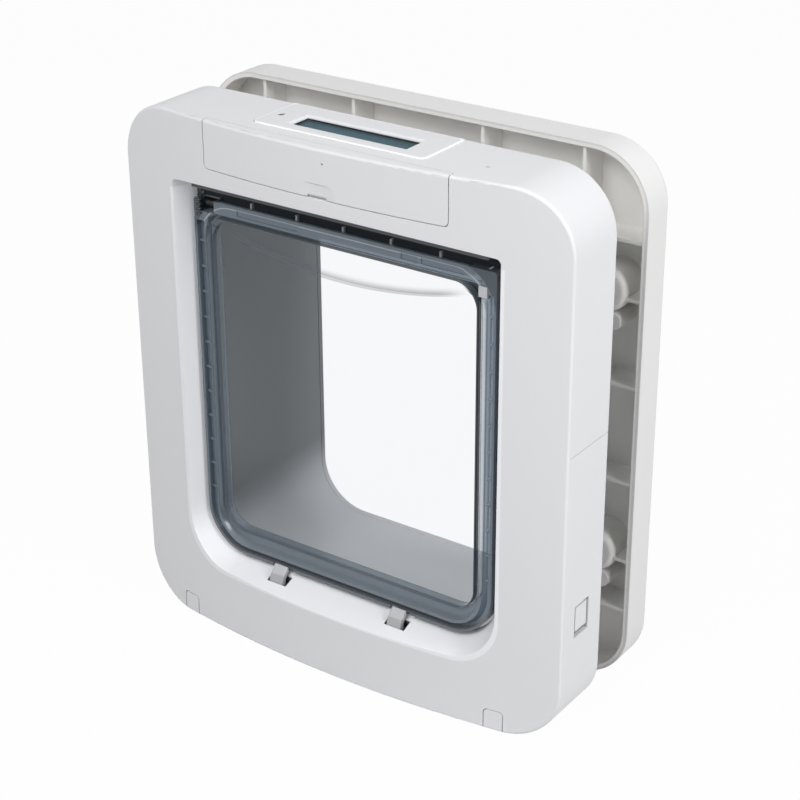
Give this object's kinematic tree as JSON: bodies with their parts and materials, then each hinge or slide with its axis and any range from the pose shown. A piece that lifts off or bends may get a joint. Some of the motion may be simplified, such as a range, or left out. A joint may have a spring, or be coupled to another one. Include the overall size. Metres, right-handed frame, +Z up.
{
  "type": "cat flap",
  "caption": "Electronic cat flap: rounded white room frame with display and battery door, smoked clear flap with sill latches, through-door tunnel and ribbed outdoor frame.",
  "frame": {"origin": "middle of the base: half the width, half the depth from the bulged face to the end of the tunnel, and the surface it stands on", "axes": "+X to the right seen from the room, +Y from the room to the outdoors, +Z up"},
  "size_m": [0.262, 0.1233, 0.288],
  "materials": {
    "white_shell": "fine satin moulding",
    "white_liner": "satin moulding",
    "white_frame": "satin moulding",
    "grey_trim": "satin moulding",
    "black_inner": "moulded, unseen",
    "black_felt": "pressed felt strip",
    "light_block": "satin moulding",
    "dark_spring": "blackened wire",
    "seal_strip": "soft strip",
    "smoked_frame": "smoked clear moulding",
    "clear_pane": "clear polished sheet",
    "clear_lens": "clear polished",
    "display": "dark grey-green liquid crystal",
    "board": "lacquered board",
    "coil_wire": "enamelled winding",
    "cell_sleeve": "printed sleeve, no lettering",
    "spring_contact": "plated",
    "steel_fixings": "zinc plated",
    "pin_steel": "ground"
  },
  "bodies": {
    "frames": {"front_housing": "white_shell", "rear_cover": "white_shell", "corner_cover_left": "white_shell", "corner_cover_right": "white_shell", "display_panel": "white_shell", "tunnel": "white_liner", "exterior_frame": "white_frame", "fixing_bolts": "steel_fixings", "case_screws": "steel_fixings", "battery_tray": "black_inner", "battery_contacts": "spring_contact", "circuit_board": "board", "display_window": "clear_lens", "display_module": "display", "antenna_coil": "coil_wire", "top_seal": "seal_strip", "hinge_bush_left": "white_liner", "hinge_bush_right": "white_liner", "solenoid_left": "coil_wire", "solenoid_right": "coil_wire", "battery_cell_1": "cell_sleeve", "battery_cell_2": "cell_sleeve", "battery_cell_3": "cell_sleeve", "battery_cell_4": "cell_sleeve"},
    "flap": {"flap_frame": "smoked_frame", "flap_pane": "clear_pane", "flap_felt": "black_felt", "flap_block": "light_block", "hinge_spring": "dark_spring", "hinge_pin_left": "pin_steel", "hinge_pin_right": "pin_steel"},
    "latch_left": {"catch_left": "grey_trim", "plunger_left": "pin_steel"},
    "latch_right": {"catch_right": "grey_trim", "plunger_right": "pin_steel"},
    "battery_door": {"battery_cover": "white_shell"},
    "button": {"mode_button": "grey_trim"}
  },
  "joints": [
    {"name": "flap_swing", "type": "hinge", "parent": "frames", "child": "flap", "pos_m": [0, -0.04095, 0.238], "axis": [1, 0, 0], "range_deg": [0, 80]},
    {"name": "latch_left_drop", "type": "slide", "parent": "frames", "child": "latch_left", "axis": [0, 0, 1], "range_m": [-0.009, 0], "stiffness_N_per_m": 60, "springref_m": 0.004},
    {"name": "latch_right_drop", "type": "slide", "parent": "frames", "child": "latch_right", "axis": [0, 0, 1], "range_m": [-0.009, 0], "stiffness_N_per_m": 60, "springref_m": 0.004},
    {"name": "battery_door_tilt", "type": "hinge", "parent": "frames", "child": "battery_door", "pos_m": [0, -0.05435, 0.2875], "axis": [-1, 0, 0], "range_deg": [0, 100]},
    {"name": "mode_button_press", "type": "slide", "parent": "frames", "child": "button", "axis": [0, 0, -1], "range_m": [0, 0.0008], "stiffness_N_per_m": 300, "springref_m": -0.0006}
  ]
}
